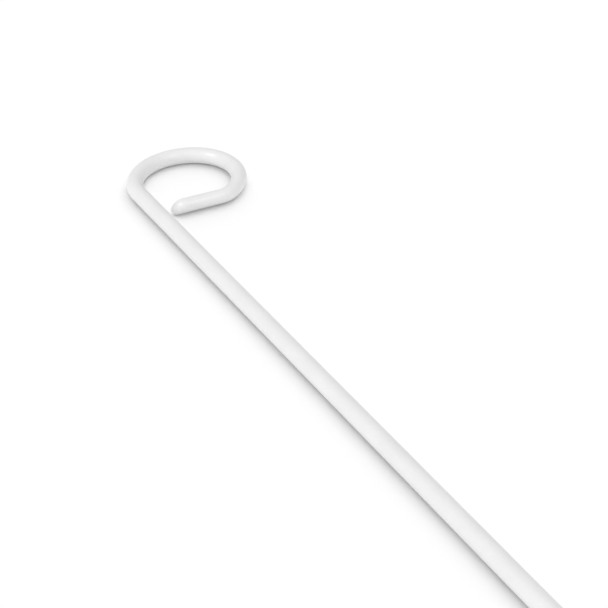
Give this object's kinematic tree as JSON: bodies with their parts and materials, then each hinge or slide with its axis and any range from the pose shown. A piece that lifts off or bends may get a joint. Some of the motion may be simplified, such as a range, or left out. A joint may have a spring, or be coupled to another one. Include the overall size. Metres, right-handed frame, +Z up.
{
  "type": "tent stake",
  "caption": "Straight round wire stake with a ground point at one end and a nearly closed bent eye at the other, coated white except at the point.",
  "frame": {"origin": "under the middle of the stake as it lies flat, on the surface it lies on", "axes": "+X along the shaft from the point to the eye, +Z up out of the plane of the bend"},
  "size_m": [0.3, 0.0442, 0.006],
  "materials": {
    "steel": "ground bare, with a light satin",
    "coating": "satin white dip coating"
  },
  "bodies": {
    "root": {"steel_wire": "steel", "white_coating": "coating"}
  },
  "joints": []
}
